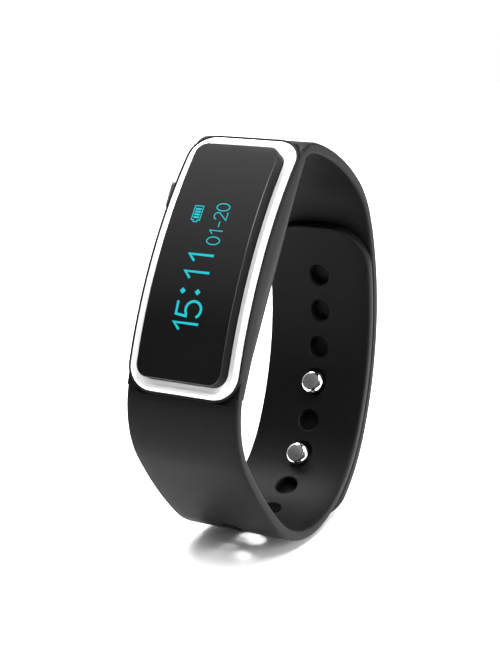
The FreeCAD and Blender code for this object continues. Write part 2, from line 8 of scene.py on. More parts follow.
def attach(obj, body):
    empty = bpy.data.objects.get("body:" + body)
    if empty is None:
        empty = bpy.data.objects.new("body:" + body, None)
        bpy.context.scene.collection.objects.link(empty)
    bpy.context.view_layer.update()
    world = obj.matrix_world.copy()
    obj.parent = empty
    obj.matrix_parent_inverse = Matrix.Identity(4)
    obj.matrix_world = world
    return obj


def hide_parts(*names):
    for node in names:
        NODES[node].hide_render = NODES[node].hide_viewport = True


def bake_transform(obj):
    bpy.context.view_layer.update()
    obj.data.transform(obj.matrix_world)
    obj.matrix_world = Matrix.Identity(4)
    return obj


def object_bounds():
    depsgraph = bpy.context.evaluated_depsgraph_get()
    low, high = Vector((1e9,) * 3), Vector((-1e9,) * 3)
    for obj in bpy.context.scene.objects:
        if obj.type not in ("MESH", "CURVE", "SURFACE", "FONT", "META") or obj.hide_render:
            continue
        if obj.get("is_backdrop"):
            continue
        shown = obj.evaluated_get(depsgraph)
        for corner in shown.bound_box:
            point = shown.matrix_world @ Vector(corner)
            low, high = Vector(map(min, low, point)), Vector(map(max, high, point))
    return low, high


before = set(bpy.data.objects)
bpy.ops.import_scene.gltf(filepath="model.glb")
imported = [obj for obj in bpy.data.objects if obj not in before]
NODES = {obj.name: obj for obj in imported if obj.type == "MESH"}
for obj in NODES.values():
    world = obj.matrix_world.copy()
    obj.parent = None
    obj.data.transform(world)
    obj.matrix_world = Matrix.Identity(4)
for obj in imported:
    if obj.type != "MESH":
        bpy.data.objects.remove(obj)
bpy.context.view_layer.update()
MM = 0.001

# The band's arcs and the display module's frame, as in the CAD source, in millimetres.
BAND_WIDTH = 20.0
STRAP_THICKNESS = 1.8
LAYER_GAP = 0.15
OUTER_INSIDE = STRAP_THICKNESS + LAYER_GAP
LOWER_START = (-25.46, -3.26)
LOWER_HEADING = -104.5
LOWER_ARCS = [(14.0, 49.3), (80.0, 12.6), (18.3, 51.1), (20.7, 54.5), (45.1, 48.7)]
UPPER_HEADING = 88.7
UPPER_ARCS = [(45.1 + OUTER_INSIDE, 23.3), (18.0, 30.6), (43.5, 24.3), (5.2, 44.5)]
HOLE_PITCH = 6.85
HOLE_COUNT = 10
FIRST_HOLE_FROM_TIP = 9.7
HOLE_RADIUS = 1.92
STUD_HOLES = (3, 5)
STUD_HOLE_SIZE = (2.2, 2.55)     # half width and half length round a stud
STUD_HOLE_OFFSET = 0.3
TAIL_END = 48.6
PLATE_SPAN = (56.6, 77.6)
PLATE_WIDTH = 16.0
PLATE_CORNER = 1.6
PLATE_THICKNESS = 0.8
PLATE_PROUD = 0.3
END_RADIUS = 7.5                 # round ends of the straps, in plan
EDGE_RADIUS = 0.4
FRONT_RADIUS = 74.5
MODULE_ORIGIN = (-18.99, 17.34)
MODULE_TILT = 57.95
MODULE_HALF = 23.0               # where the straps leave the module's collar
BEZEL_HALF_WIDTH = 9.73
BEZEL_HALF_LENGTH = 22.45
BEZEL_CORNER = 4.2
LENS_INSET = 2.04                # from the bezel's outside to the lens
LENS_TOP = 1.7
LENS_FOOT = -1.2
LENS_DRAFT = 0.16                # how far the lens's sides lean in
LENS_EDGE = 0.14
TOP_BAND_EXTRA = 0.6             # the bezel's band is this much wider at the top end
END_STARTS = 17.0                # along the front, where the module's ends begin
END_BLEND = 4.0                  # over which the bezel's sides turn into its ends
BUTTON_PLACE = (10.9, -3.35)     # along and below the front, in the module frame
BUTTON_FACE = -11.6
BUTTON_HALF_LENGTH = 2.4
BUTTON_HALF_HEIGHT = 0.9
BUTTON_CORNER = 0.6
RIB_PITCH = 0.8
RIB_DEPTH = 0.06

# The lit signs: places along the lens and, for their feet, across it.
SIGN_FOOT = -2.25
TIME_PLACES = (-11.3, -8.85, -3.2, -0.4)
TIME_HEIGHT = 4.4
TIME_STROKE = 0.4
COLON_PLACE = -6.35
COLON_ABOVE_FOOT = (1.25, 3.9)
COLON_SIZE = 0.52
DATE_PLACES = (2.05, 3.75, 4.85, 6.3, 7.8)
DATE_FOOT = -2.55
DATE_HEIGHT = 2.35
DATE_STROKE = 0.16
BATTERY_PLACE = (6.3, 2.85)
BATTERY_SIZE = (2.75, 1.5)
BATTERY_NUB = 0.3                # how far its small end stands out
BATTERY_OUTLINE = 0.15
BATTERY_BARS = 4
BATTERY_BAR = 0.31
BATTERY_BAR_GAP = 0.25           # from the outline to a bar's end
BATTERY_BAR_START = 0.78
BATTERY_BAR_PITCH = 0.476

# Skins: how the strap rows are spaced, and two distances either side of the outer strap's hinge at which
# stations are found and then left unused.
ROW_STEP = 0.8
FINE_ROW_STEP = 0.6
COLLAR_STEP = 0.01               # a strap dips under the collar's surface over this length
COLLAR_DEPTH = 12.0
COLLAR_EASE = 0.3
SEARCH_STEPS = 800
BEND_ABOVE = 1.0                 # from the hinge towards the module
BEND_BELOW = 8.0                 # from the hinge towards the tail

# Camera: where it stands, in metres, and which way it looks.
CAMERA_PLACE = (0.11413, -0.22209, 0.06506)
CAMERA_AZIMUTH = 27.65
CAMERA_DOWN = 14.45
CAMERA_LENS = 81.8


# ---- the band's centre line ----

def on_arc(arc, heading, offset):
    cy, cz, radius = arc[:3]
    h = radians(heading)
    return cy + (radius + offset) * sin(h), cz - (radius + offset) * cos(h)


def arc_run(start, heading, arcs):
    y, z = start
    run = []
    for radius, turn in arcs:
        h = radians(heading)
        run.append((y - radius * sin(h), z + radius * cos(h), radius, heading, heading + turn))
        heading += turn
        y, z = on_arc(run[-1], heading, 0)
    return run


def run_length(run):
    return sum(arc[2] * radians(arc[4] - arc[3]) for arc in run)


def station(run, distance, offset):
    """The point at a distance along a run, offset outward, and the heading there."""
    for arc in run:
        length = arc[2] * radians(arc[4] - arc[3])
        if distance <= length or arc is run[-1]:
            heading = arc[3] + distance / arc[2] * 180 / pi
            y, z = on_arc(arc, heading, offset)
            return y, z, heading
        distance -= length


def trimmed(run, first, last, grow):
    """Part of a run, with its arcs grown outward."""
    kept = []
    passed = 0.0
    for cy, cz, radius, h0, h1 in run:
        length = radius * radians(h1 - h0)
        lo, hi = max(first - passed, 0.0), min(last - passed, length)
        if hi > lo:
            kept.append((cy, cz, radius + grow, h0 + lo / radius * 180 / pi, h0 + hi / radius * 180 / pi))
        passed += length
    return kept


LOWER = arc_run(LOWER_START, LOWER_HEADING, LOWER_ARCS)
LOWER_LENGTH = run_length(LOWER)
BACK = LOWER[-1]
BEND_DISTANCE = run_length(LOWER[:-1]) + BACK[2] * radians(UPPER_HEADING - BACK[3])
UPPER = arc_run(on_arc(BACK, UPPER_HEADING, OUTER_INSIDE), UPPER_HEADING, UPPER_ARCS)
OUTER = trimmed(LOWER, TAIL_END, BEND_DISTANCE, OUTER_INSIDE) + UPPER
OUTER_LENGTH = run_length(OUTER)
OUTER_BEND = OUTER_LENGTH - run_length(UPPER)


def hole_distance(index):
    return LOWER_LENGTH - FIRST_HOLE_FROM_TIP - index * HOLE_PITCH


# ---- the display module's frame ----

MODULE = (Matrix.Translation((0, MODULE_ORIGIN[0] * MM, MODULE_ORIGIN[1] * MM))
          @ Matrix.Rotation(radians(MODULE_TILT), 4, "X"))


def module_point(x, y, z):
    """A point of the module frame, in millimetres, as a point of the row frame in metres."""
    return MODULE @ Vector((x * MM, y * MM, z * MM))


def in_module(v):
    """A vertex's place in the module frame, in millimetres."""
    return MODULE.inverted() @ v.co / MM


def on_front(x, along, height):
    """A point over the curved front: across, along the curve and above it."""
    a = along / FRONT_RADIUS
    r = FRONT_RADIUS + height
    return module_point(x, r * sin(a), r * cos(a) - FRONT_RADIUS)


# ---- meshes ----

def finish_mesh(bm, name, sharp=40):
    bmesh.ops.recalc_face_normals(bm, faces=bm.faces)
    mesh = bpy.data.meshes.new(name)
    for face in bm.faces:
        face.smooth = True
    bm.to_mesh(mesh)
    bm.free()
    mesh.set_sharp_from_angle(angle=radians(sharp))
    obj = bpy.data.objects.new(name, mesh)
    bpy.context.scene.collection.objects.link(obj)
    return obj


def dress(obj, material, body="root", replaces=()):
    obj.data.materials.clear()
    obj.data.materials.append(material)
    if body:
        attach(obj, body)
    if replaces:
        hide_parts(*replaces)
    return obj


def join_loops(bm, one, other):
    """Closed band of faces between two loops with the same number of vertices."""
    for i in range(len(one)):
        j = (i + 1) % len(one)
        bm.faces.new([one[i], one[j], other[j], other[i]])


def fill_across(bm, loop, places):
    """Fills a loop with strips between vertices that are level; places lists their (across, along)."""
    levels = {}
    for v, (across, along) in zip(loop, places):
        levels.setdefault(round(along, 3), []).append((across, v))
    rows = []
    for level in sorted(levels):
        rows.append([v for _, v in sorted(levels[level], key=lambda pair: pair[0])])
    for low, high in zip(rows[:-1], rows[1:]):
        bm.faces.new(low + list(reversed(high)))


class StrapMesh:
    """A strap drawn as rows of cross-sections along a run, with round holes let into both faces."""

    CENTRE = 2.9                 # half width of the middle columns, which hold the holes
    MIDDLE = 8                   # columns and rows of a hole's patch
    SIDES = (0.35, 0.7, 1.0)     # outer columns, as shares of the rest of the width
    CORNER_STEPS = 4
    UNDER_COLLAR = 0.04          # how far under the collar's surface the strap runs inside it
    HOLE_LIPS = ((0.5, 0.0), (0.27, -0.02), (0.17, 0.01), (0.07, 0.08), (0.015, 0.18), (0.0, 0.32))

    def __init__(self, run, round_end, shown):
        self.run = run
        self.length = run_length(run)
        self.round_end = round_end     # which end is round in plan: "start" or "end"
        self.shown = shown             # the stretch of the run that lies outside the collar
        self.bm = bmesh.new()
        self.made = {}

    def vertex(self, s, x, n):
        key = (round(s, 4), round(x, 4), round(n, 4))
        if key not in self.made:
            y, z, _ = station(self.run, s, n)
            self.made[key] = self.bm.verts.new((x * MM, y * MM, z * MM))
        return self.made[key]

    def face(self, verts):
        unique = []
        for v in verts:
            if v not in unique:
                unique.append(v)
        if len(unique) > 2 and self.bm.faces.get(unique) is None:
            self.bm.faces.new(unique)

    def section(self, s):
        """Half width and the inset of both faces at a distance along the run."""
        width = BAND_WIDTH / 2
        inset = 0.0
        d = s if self.round_end == "start" else self.length - s
        if d < END_RADIUS:
            width += sqrt(max(END_RADIUS ** 2 - (END_RADIUS - d) ** 2, 0)) - END_RADIUS
        if d < EDGE_RADIUS:
            inset = EDGE_RADIUS - sqrt(max(EDGE_RADIUS ** 2 - (EDGE_RADIUS - d) ** 2, 0))
        sunk = 0.0 if self.shown[0] <= s <= self.shown[1] else self.UNDER_COLLAR
        return width - inset - sunk, inset + sunk

    def columns(self, width):
        flat = width - EDGE_RADIUS
        centre = min(self.CENTRE, flat * 0.6)
        middle = [centre * (2 * i / self.MIDDLE - 1) for i in range(self.MIDDLE + 1)]
        right = [centre + (flat - centre) * share for share in self.SIDES]
        return [-x for x in reversed(right)] + middle + right

    def ring(self, s):
        """The cross-section at s: inner face, edge, outer face, edge."""
        width, inset = self.section(s)
        columns = self.columns(width)
        r = min(EDGE_RADIUS, STRAP_THICKNESS / 2 - inset)
        inner = [self.vertex(s, x, inset) for x in columns]
        outer = [self.vertex(s, x, STRAP_THICKNESS - inset) for x in columns]
        edges = []
        for sign in (1, -1):
            edge = []
            for n_mid, phase in ((inset + r, 0), (STRAP_THICKNESS - inset - r, 90)):
                for k in range(self.CORNER_STEPS + 1):
                    a = radians(phase + 90 * k / self.CORNER_STEPS)
                    x = sign * (width - EDGE_RADIUS + r * sin(a))
                    edge.append(self.vertex(s, x, n_mid - r * cos(a)))
            edges.append(edge)
        return inner, edges[0], outer, edges[1]

    def patch_rows(self, centre):
        return [centre + HOLE_PITCH * (i / self.MIDDLE - 0.5) for i in range(self.MIDDLE + 1)]

    def build(self, rows, holes):
        rings = [self.ring(s) for s in rows]
        side = len(self.SIDES)
        for i in range(len(rows) - 1):
            middle = (rows[i] + rows[i + 1]) / 2
            in_patch = any(abs(middle - h["s"]) < HOLE_PITCH / 2 for h in holes)
            a, b = rings[i], rings[i + 1]
            for part in (0, 2):
                for j in range(len(a[part]) - 1):
                    if in_patch and side <= j < side + self.MIDDLE:
                        continue
                    self.face([a[part][j], a[part][j + 1], b[part][j + 1], b[part][j]])
            for part in (1, 3):
                for j in range(len(a[part]) - 1):
                    self.face([a[part][j], a[part][j + 1], b[part][j + 1], b[part][j]])
        for inner, right, outer, left in (rings[0], rings[-1]):
            self.cap(inner, right, outer, left)
        for hole in holes:
            self.hole(**hole)
        return self.bm

    def cap(self, inner, right, outer, left):
        count = len(inner)
        for j in range(count - 1):
            self.face([inner[j], inner[j + 1], outer[j + 1], outer[j]])
        for edge, face_in, face_out in ((right, inner[-1], outer[-1]), (left, inner[0], outer[0])):
            loop = [v for v in edge if v not in (face_in, face_out)]
            self.face([face_in] + loop + [face_out])

    def hole(self, s, half_width, half_length, shift=0.0):
        """A hole with rounded lips in the patch round s."""
        m = self.MIDDLE
        rows = self.patch_rows(s)
        xs = [self.CENTRE * (2 * i / m - 1) for i in range(m + 1)]
        square = [(rows[0], x) for x in xs] + [(r, xs[-1]) for r in rows[1:]]
        square += [(rows[-1], x) for x in reversed(xs[:-1])] + [(r, xs[0]) for r in reversed(rows[1:-1])]
        walls = []
        for outward in (False, True):
            rings = [[self.vertex(a, b, STRAP_THICKNESS if outward else 0.0) for a, b in square]]
            for grow, depth in self.HOLE_LIPS:
                n = STRAP_THICKNESS - depth if outward else depth
                ring = []
                for a, b in square:
                    angle = atan2(a - s, b)
                    ring.append(self.vertex(s + shift + (half_length + grow) * sin(angle),
                                            (half_width + grow) * cos(angle), n))
                rings.append(ring)
            for inner_ring, outer_ring in zip(rings[1:], rings[:-1]):
                self.strip(inner_ring, outer_ring)
            walls.append(rings[-1])
        self.strip(*walls)

    def strip(self, one, other):
        for i in range(len(one)):
            j = (i + 1) % len(one)
            self.face([one[i], one[j], other[j], other[i]])


def even(first, last, step):
    count = max(1, round((last - first) / step))
    return [first + (last - first) * i / count for i in range(count + 1)]


def tip_rows(length):
    """Distances from a rounded end, crowded towards it."""
    turn = [END_RADIUS * (1 - cos(radians(a))) for a in range(12, 91, 6)]
    return [0.0, 0.03, 0.08] + [d for d in turn if d < length]


def collar_crossing(run, upper):
    """Distance along a run at which a strap leaves the collar's end plane."""
    length = run_length(run)
    steps = [length * i / SEARCH_STEPS for i in range(SEARCH_STEPS + 1)]
    inverse = MODULE.inverted()
    inside = []
    for s in steps:
        y, z, _ = station(run, s, STRAP_THICKNESS / 2)
        local = inverse @ Vector((0, y * MM, z * MM))
        if abs(local.y) < MODULE_HALF * MM and local.z > -COLLAR_DEPTH * MM:
            inside.append(s)
    return min(inside) if upper else max(inside)


# ---- materials ----

def new_material(name):
    material = bpy.data.materials.new(name)
    material.use_nodes = True
    tree = material.node_tree
    return material, tree.nodes, tree.links, tree.nodes["Principled BSDF"]


def noise(nodes, links, scale, detail=4.0, stretch=(1, 1, 1)):
    coords = nodes.new("ShaderNodeTexCoord")
    mapping = nodes.new("ShaderNodeMapping")
    mapping.inputs["Scale"].default_value = stretch
    texture = nodes.new("ShaderNodeTexNoise")
    texture.inputs["Scale"].default_value = scale
    texture.inputs["Detail"].default_value = detail
    links.new(coords.outputs["Object"], mapping.inputs["Vector"])
    links.new(mapping.outputs["Vector"], texture.inputs["Vector"])
    return texture.outputs["Fac"]


def ramp(nodes, links, value, low, high, start=0.3, end=0.7):
    node = nodes.new("ShaderNodeMapRange")
    node.inputs["From Min"].default_value = start
    node.inputs["From Max"].default_value = end
    node.inputs["To Min"].default_value = low
    node.inputs["To Max"].default_value = high
    links.new(value, node.inputs["Value"])
    return node.outputs["Result"]


def two_tone(nodes, links, value, dark, light):
    node = nodes.new("ShaderNodeMix")
    node.data_type = "RGBA"
    node.inputs["A"].default_value = (*dark, 1)
    node.inputs["B"].default_value = (*light, 1)
    links.new(value, node.inputs["Factor"])
    return node.outputs["Result"]


def bump(nodes, links, height, strength, distance):
    node = nodes.new("ShaderNodeBump")
    node.inputs["Strength"].default_value = strength
    node.inputs["Distance"].default_value = distance
    links.new(height, node.inputs["Height"])
    return node.outputs["Normal"]


def surface(name, dark, light, rough, grain, metallic=0.0, strength=0.2, depth=0.00002,
            stretch=(1, 1, 1), coat=0.0, specular=0.5):
    """A material whose colour, roughness and bump all vary with one grain."""
    material, nodes, links, shader = new_material(name)
    coarse = noise(nodes, links, grain / 12, 3.0, stretch)
    fine = noise(nodes, links, grain, 5.0, stretch)
    links.new(two_tone(nodes, links, coarse, dark, light), shader.inputs["Base Color"])
    links.new(ramp(nodes, links, fine, *rough), shader.inputs["Roughness"])
    links.new(bump(nodes, links, fine, strength, depth), shader.inputs["Normal"])
    shader.inputs["Metallic"].default_value = metallic
    shader.inputs["Specular IOR Level"].default_value = specular
    shader.inputs["Coat Weight"].default_value = coat
    shader.inputs["Coat Roughness"].default_value = 0.08
    return material


def make_materials():
    m = {}
    m["strap"] = surface("soft_black_elastomer", (0.0024, 0.0024, 0.0026), (0.0036, 0.0036, 0.0038),
                         (0.42, 0.52), 5200, strength=0.22, specular=0.07)
    m["bezel"] = surface("satin_plating", (0.93, 0.93, 0.935), (0.97, 0.97, 0.975), (0.2, 0.27), 900,
                         metallic=0.42, strength=0.03)
    m["chrome"] = surface("polished_plating", (0.86, 0.86, 0.87), (0.93, 0.93, 0.935), (0.06, 0.1), 900,
                          metallic=1.0, strength=0.03)
    m["lens"] = surface("smoked_lens", (0.003, 0.003, 0.0032), (0.0042, 0.0042, 0.0045), (0.07, 0.1), 700,
                        strength=0.01, specular=0.42)
    # the lens's sides: a rougher, less glossy finish, and a darker colour that is painted shade
    m["lens_side"] = surface("dull_lens_side_painted_shade", (0.001, 0.001, 0.0011), (0.0016, 0.0016, 0.0017),
                             (0.4, 0.5), 1800, strength=0.05, specular=0.08)
    m["case"] = surface("case_plastic", (0.03, 0.03, 0.032), (0.045, 0.045, 0.047), (0.45, 0.6), 3000)
    m["cover"] = surface("cover_plastic", (0.012, 0.012, 0.013), (0.02, 0.02, 0.021), (0.3, 0.42), 4500,
                         strength=0.3)
    m["seal"] = surface("silicone_seal", (0.03, 0.03, 0.032), (0.05, 0.05, 0.052), (0.5, 0.6), 2500)
    m["screw"] = surface("screw_steel", (0.42, 0.42, 0.43), (0.55, 0.55, 0.56), (0.25, 0.4), 2500,
                         metallic=1.0)
    m["gold"] = surface("gold_plate", (0.85, 0.6, 0.22), (0.95, 0.7, 0.3), (0.14, 0.28), 2500, metallic=1.0)
    m["panel"] = surface("panel_glass", (0.01, 0.01, 0.012), (0.015, 0.015, 0.018), (0.08, 0.12), 800)
    m["foam"] = surface("foam_tape", (0.02, 0.02, 0.02), (0.035, 0.035, 0.035), (0.85, 0.95), 5000,
                        strength=0.6)
    m["flex"] = surface("polyimide", (0.35, 0.13, 0.02), (0.45, 0.18, 0.03), (0.3, 0.4), 1500)
    m["board"] = surface("solder_mask", (0.01, 0.09, 0.035), (0.015, 0.13, 0.05), (0.3, 0.45), 2500,
                         coat=0.3)
    m["chip"] = surface("epoxy_package", (0.012, 0.012, 0.012), (0.02, 0.02, 0.02), (0.5, 0.65), 6000)
    m["ceramic"] = surface("fired_ceramic", (0.5, 0.45, 0.36), (0.6, 0.55, 0.46), (0.5, 0.6), 4000)
    m["can"] = surface("drawn_steel", (0.5, 0.5, 0.52), (0.6, 0.6, 0.62), (0.25, 0.35), 2500, metallic=1.0)
    m["pouch"] = surface("foil_pouch", (0.55, 0.55, 0.57), (0.68, 0.68, 0.7), (0.3, 0.45), 900,
                         metallic=0.9, strength=0.4)
    m["wire"] = surface("wire_insulation", (0.4, 0.02, 0.015), (0.5, 0.03, 0.02), (0.35, 0.45), 3000)
    m["button"] = surface("button_plastic", (0.03, 0.03, 0.031), (0.045, 0.045, 0.046), (0.35, 0.45), 4500)
    m["face"] = surface("brushed_face", (0.1, 0.1, 0.1), (0.16, 0.16, 0.16), (0.42, 0.55), 2600,
                        metallic=0.85, strength=0.5, stretch=(0.12, 1, 1))
    m["plate"] = surface("brushed_plate", (0.45, 0.45, 0.46), (0.58, 0.58, 0.59), (0.24, 0.4), 3200,
                         metallic=1.0, strength=0.35, stretch=(0.05, 1, 1))
    return m


def glow_material():
    material, nodes, links, shader = new_material("lit_dots")
    value = noise(nodes, links, 2500, 2.0)
    colour = two_tone(nodes, links, value, (0.01, 0.54, 0.62), (0.02, 0.63, 0.7))
    shader.inputs["Base Color"].default_value = (0.0, 0.004, 0.005, 1)
    links.new(colour, shader.inputs["Emission Color"])
    shader.inputs["Emission Strength"].default_value = 1.0
    shader.inputs["Roughness"].default_value = 0.5
    shader.inputs["Specular IOR Level"].default_value = 0.1
    return material


# ---- straps ----

def lower_strap(material):
    start = collar_crossing(LOWER, False)
    strap = StrapMesh(LOWER, "end", (start, LOWER_LENGTH))
    holes = []
    for i in range(HOLE_COUNT):
        hole = {"s": hole_distance(i), "half_width": HOLE_RADIUS, "half_length": HOLE_RADIUS}
        if i in STUD_HOLES:
            hole["half_width"], hole["half_length"] = STUD_HOLE_SIZE
            hole["shift"] = STUD_HOLE_OFFSET
        holes.append(hole)
    first = hole_distance(HOLE_COUNT - 1) - HOLE_PITCH / 2
    last = hole_distance(0) + HOLE_PITCH / 2
    rows = even(0.2, start, ROW_STEP) + even(start + COLLAR_STEP, first, ROW_STEP)
    for i in reversed(range(HOLE_COUNT)):
        rows += strap.patch_rows(hole_distance(i))
    rows += [LOWER_LENGTH - d for d in reversed(tip_rows(LOWER_LENGTH - last))]
    bm = strap.build(tidy_rows(rows), holes)
    return dress(finish_mesh(bm, "lower_strap_skin", 50), material, "root", ["lower_strap"])


def tidy_rows(rows):
    """Sorted rows with near repeats dropped."""
    kept = []
    for s in sorted(rows):
        if not kept or s - kept[-1] > 0.004:
            kept.append(s)
    return kept


def outer_strap(material):
    """Upper strap and strap tail as one skin that bends at the back."""
    end = collar_crossing(OUTER, True)
    strap = StrapMesh(OUTER, "start", (0.0, end))
    rows = tip_rows(END_RADIUS) + even(END_RADIUS, end - COLLAR_STEP, FINE_ROW_STEP)
    rows += even(end, OUTER_LENGTH - 0.1, ROW_STEP)
    bm = strap.build(tidy_rows(rows), [])
    obj = dress(finish_mesh(bm, "outer_strap_skin", 50), material, None,
                ["upper_strap", "strap_tail"])
    above = station(OUTER, OUTER_BEND + BEND_ABOVE, STRAP_THICKNESS / 2)
    below = station(OUTER, OUTER_BEND - BEND_BELOW, STRAP_THICKNESS / 2)
    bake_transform(obj)
    return obj


def eased_copy(node, name, width, pick):
    """A copy of a CAD node's mesh with the picked edges rounded."""
    bm = bmesh.new()
    bm.from_mesh(NODES[node].data)
    bmesh.ops.remove_doubles(bm, verts=bm.verts, dist=1e-6)
    bmesh.ops.dissolve_limit(bm, angle_limit=radians(1), verts=bm.verts, edges=bm.edges)
    edges = []
    for edge in bm.edges:
        if len(edge.link_faces) == 2 and edge.calc_face_angle(0) > radians(30) and pick(edge):
            edges.append(edge)
    bmesh.ops.bevel(bm, geom=edges, offset=width * MM, segments=3, profile=0.5, affect="EDGES",
                    clamp_overlap=True)
    return finish_mesh(bm, name, 35)


def collar(material):
    side = BAND_WIDTH / 2 * MM - 1e-5

    def along_sides(edge):
        return all(abs(v.co.x) > side for v in edge.verts)

    skin = eased_copy("band_collar", "collar_skin", COLLAR_EASE, along_sides)
    return dress(skin, material, "root", ["band_collar"])


# ---- module front ----

def oblong(half_width, half_length, corner, inset, side_steps=16, corner_steps=8):
    """Points round an oblong with round corners, inset from its outside."""
    r = max(corner - inset, 0.05)
    x0, y0 = half_width - corner, half_length - corner
    x1, y1 = half_width - inset - r, half_length - inset - r
    points = []
    for sx, sy, start in ((1, 1, 0), (-1, 1, 90), (-1, -1, 180), (1, -1, 270)):
        cx, cy = sx * (x1 if corner > inset else x0), sy * y1
        for k in range(corner_steps + 1):
            a = radians(start + 90 * k / corner_steps)
            points.append((cx + r * cos(a), cy + r * sin(a)))
        if start in (90, 270):
            top = cy + r * sin(radians(start + 90))
            points += [(points[-1][0], top + (-top * 2) * i / side_steps) for i in range(1, side_steps)]
    return points


def share_of(value, whole):
    """A value as a share of a whole, held between 0 and 1."""
    return min(max(value / whole, 0.0), 1.0)


def swept_ring(section, closed, end_heights=None):
    """A ring or dish made of oblongs on the curved front; section lists (inset, height).

    Where end_heights is given, the ring takes those heights at its two ends."""
    bm = bmesh.new()
    loops = []
    ends = end_heights or [height for _, height in section]
    for (inset, side_height), end_height in zip(section, ends):
        outline = oblong(BEZEL_HALF_WIDTH, BEZEL_HALF_LENGTH, BEZEL_CORNER, inset)
        loop = []
        lean = TOP_BAND_EXTRA * share_of(inset, LENS_INSET)
        for x, y in outline:
            share = share_of(abs(y) - END_STARTS, END_BLEND)
            y -= lean * share_of(y, END_STARTS)
            loop.append(bm.verts.new(on_front(x, y, side_height + (end_height - side_height) * share)))
        loops.append(loop)
    for one, other in zip(loops[:-1], loops[1:]):
        join_loops(bm, one, other)
    if closed:
        join_loops(bm, loops[-1], loops[0])
    return bm, loops


def quarter(inset, height, radius, start, end, steps):
    """Part of a round in a section, its angle measured from the inward direction."""
    return [(inset + radius * cos(radians(start + (end - start) * k / steps)),
             height + radius * sin(radians(start + (end - start) * k / steps))) for k in range(steps + 1)]


def bezel(material):
    section = [(0.06, -1.3), (0.03, -0.6)]
    section += quarter(0.38, -0.36, 0.36, 175, 95, 5)
    section += [(0.62, 0.02), (0.9, 0.015)]
    section += quarter(1.06, -0.1, 0.1, 90, 35, 3)
    section += [(1.55, -0.22), (LENS_INSET - 0.1, -0.42), (LENS_INSET - 0.06, -1.3)]
    flat_ends = [height for _, height in section]
    flat_ends[-6:-1] = [0.0, -0.01, -0.03, -0.06, -0.12]
    bm, _ = swept_ring(section, True, flat_ends)
    return dress(finish_mesh(bm, "bezel_ring", 50), material, "root", ["bezel"])


def collar_lip(material):
    """Thin lip of the moulding that stands round the bezel."""
    section = [(0.02, -1.6), (0.02, -0.3), (-0.03, -0.12), (-0.12, -0.05), (-0.26, -0.08)]
    section += [(-0.33, -0.22), (-0.33, -1.6)]
    bm, _ = swept_ring(section, True)
    return dress(finish_mesh(bm, "collar_lip", 50), material, "root")


def lens(material, side_material):
    """A raised block with a glossy top and dull sides; the sides take a darker copy of the lens colour as
    painted shade.
    """
    round_centre = LENS_INSET + LENS_DRAFT + LENS_EDGE
    section = [(LENS_INSET, LENS_FOOT), (LENS_INSET, -0.2), (LENS_INSET + 0.13, LENS_TOP - LENS_EDGE - 0.25)]
    section += quarter(round_centre, LENS_TOP - LENS_EDGE, LENS_EDGE, 180, 90, 5)
    section += [(round_centre + 0.06, LENS_TOP + 0.001), (LENS_INSET + 1.3, LENS_TOP + 0.012)]
    section += [(LENS_INSET + 2.2, LENS_TOP + 0.015)]
    bm, loops = swept_ring(section, False)
    for loop in (loops[-1], loops[0]):
        places = [in_module(v) for v in loop]
        fill_across(bm, loop, [(place.x, place.y) for place in places])
    obj = dress(finish_mesh(bm, "lens_glass", 60), material, "root", ["lens"])
    obj.data.materials.append(side_material)
    outwards = (on_front(0, 0, 1) - on_front(0, 0, 0)).normalized()
    # faces turned away from the front take the darker side material, painted shade
    for face in obj.data.polygons:
        if face.normal.dot(outwards) < 0.5:
            face.material_index = 1
    return obj


# ---- the lit display ----

SIGN_TOP = LENS_TOP + 0.035
SIGN_FLOOR = SIGN_TOP - 0.05


def stroke(bm, points, width, closed=False):
    """A flat ribbon along a line of (along, across) points on the lens."""
    count = len(points)
    sides = []
    for i, (u, v) in enumerate(points):
        before = points[i - 1] if i > 0 or closed else None
        after = points[(i + 1) % count] if i < count - 1 or closed else None
        directions = []
        if before:
            directions.append(Vector((u - before[0], v - before[1])).normalized())
        if after:
            directions.append(Vector((after[0] - u, after[1] - v)).normalized())
        along = sum(directions, Vector((0, 0))).normalized()
        normal = Vector((-along.y, along.x))
        mitre = 1 / max(0.5, normal.dot(Vector((-directions[0].y, directions[0].x))))
        reach = normal * (width / 2 * mitre)
        sides.append([(u + reach.x, v + reach.y), (u - reach.x, v - reach.y)])
    rings = []
    for left, right in sides:
        ring = [on_front(-left[1], left[0], SIGN_TOP), on_front(-right[1], right[0], SIGN_TOP),
                on_front(-right[1], right[0], SIGN_FLOOR), on_front(-left[1], left[0], SIGN_FLOOR)]
        rings.append([bm.verts.new(p) for p in ring])
    for one, other in zip(rings[:-1], rings[1:]):
        join_loops(bm, one, other)
    if closed:
        join_loops(bm, rings[-1], rings[0])
    else:
        bm.faces.new(rings[0])
        bm.faces.new(list(reversed(rings[-1])))


def bow(cu, cv, ru, rv, start, end, steps=10):
    return [(cu + ru * cos(radians(start + (end - start) * k / steps)),
             cv + rv * sin(radians(start + (end - start) * k / steps))) for k in range(steps + 1)]


def glyph(sign):
    """Strokes of a numeral in a box one unit high, with u along the writing and v up."""
    if sign == "1":
        return [[(0.26, 0.74), (0.5, 0.98), (0.5, 0.0)]]
    if sign == "5":
        belly = bow(0.44, 0.31, 0.3, 0.31, 125, -150, 12)
        return [[(0.7, 0.97), (0.24, 0.97), (0.19, 0.56)] + belly]
    if sign == "0":
        return [bow(0.5, 0.5, 0.27, 0.49, 90, 430, 17)]
    if sign == "2":
        return [bow(0.48, 0.72, 0.25, 0.26, 170, -20, 8) + [(0.2, 0.02), (0.78, 0.02)]]
    return [[(0.3, 0.42), (0.7, 0.42)]]


def write(bm, signs, places, foot, height, width):
    """Numerals at given places along the display; foot is how far across their feet are."""
    for sign, place in zip(signs, places):
        for line in glyph(sign):
            points = [(place + (u - 0.5) * height, foot + v * height) for u, v in line]
            closed = sign == "0"
            stroke(bm, points[:-1] if closed else points, width, closed)


